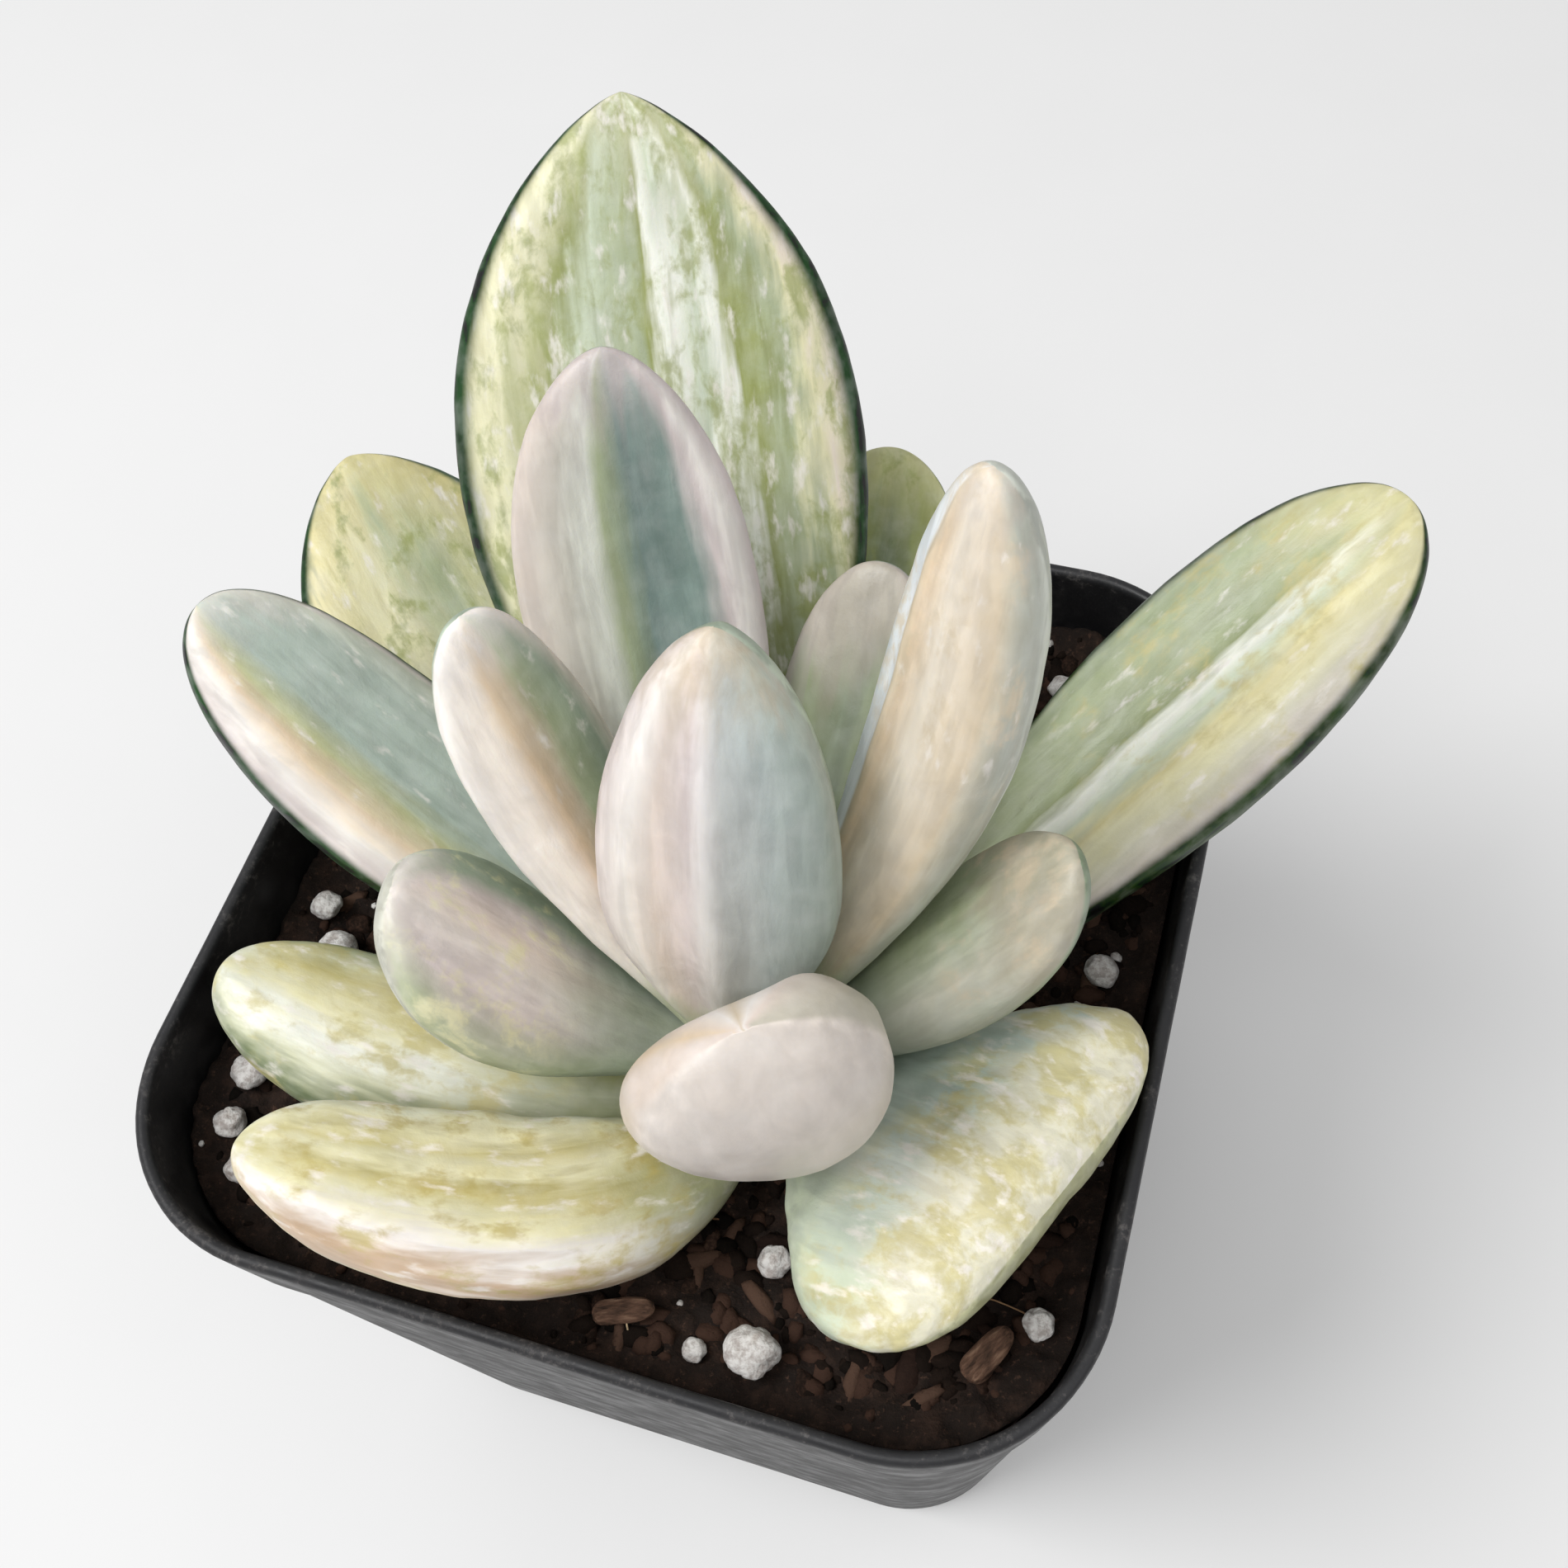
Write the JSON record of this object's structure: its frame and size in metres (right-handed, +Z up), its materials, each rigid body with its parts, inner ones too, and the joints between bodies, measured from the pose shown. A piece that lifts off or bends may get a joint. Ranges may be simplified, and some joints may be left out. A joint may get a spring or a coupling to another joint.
{
  "type": "potted succulent",
  "caption": "Young fat-leaved variegated succulent, a loose rosette of long blunt leaves, rooted in potting mix in a small square tapering nursery pot",
  "frame": {"origin": "middle of the pot's flat underside, on the surface it stands on", "axes": "+Z up, X and Y along the sides of the square pot; -Y is the side the shortest, lowest leaves lie on"},
  "size_m": [0.0679, 0.0616, 0.0926],
  "materials": {
    "pot": "black, slightly satin, dusty at the rim",
    "soil": "dark brown peat and bark potting mix",
    "perlite": "chalky pale grains",
    "bark": "rough brown bark",
    "stem": "fresh green stem",
    "leaf_cream": "fleshy leaf, cream and olive streaks under a waxy bloom",
    "leaf_blue": "fleshy leaf, grey-green with pale margins under a waxy bloom",
    "leaf_pink": "fleshy leaf, pink and lavender blush under a waxy bloom"
  },
  "bodies": {
    "root": {"bark_1": "bark", "bark_2": "bark", "bark_3": "bark", "bark_4": "bark", "bark_5": "bark", "leaf_back_inner": "leaf_blue", "leaf_back_low": "leaf_cream", "leaf_back_right": "leaf_blue", "leaf_back_tall": "leaf_cream", "leaf_centre": "leaf_pink", "leaf_front_low": "leaf_cream", "leaf_front_stub": "leaf_pink", "leaf_front_wide": "leaf_cream", "leaf_left_back": "leaf_cream", "leaf_left_inner": "leaf_pink", "leaf_left_long": "leaf_blue", "leaf_left_low": "leaf_cream", "leaf_left_short": "leaf_pink", "leaf_right_long": "leaf_cream", "leaf_right_short": "leaf_cream", "leaf_right_tall": "leaf_pink", "perlite_01": "perlite", "perlite_02": "perlite", "perlite_03": "perlite", "perlite_04": "perlite", "perlite_05": "perlite", "perlite_06": "perlite", "perlite_07": "perlite", "perlite_08": "perlite", "perlite_09": "perlite", "perlite_10": "perlite", "perlite_11": "perlite", "perlite_12": "perlite", "perlite_13": "perlite", "perlite_14": "perlite", "perlite_15": "perlite", "pot": "pot", "soil": "soil", "stem": "stem"}
  },
  "joints": []
}
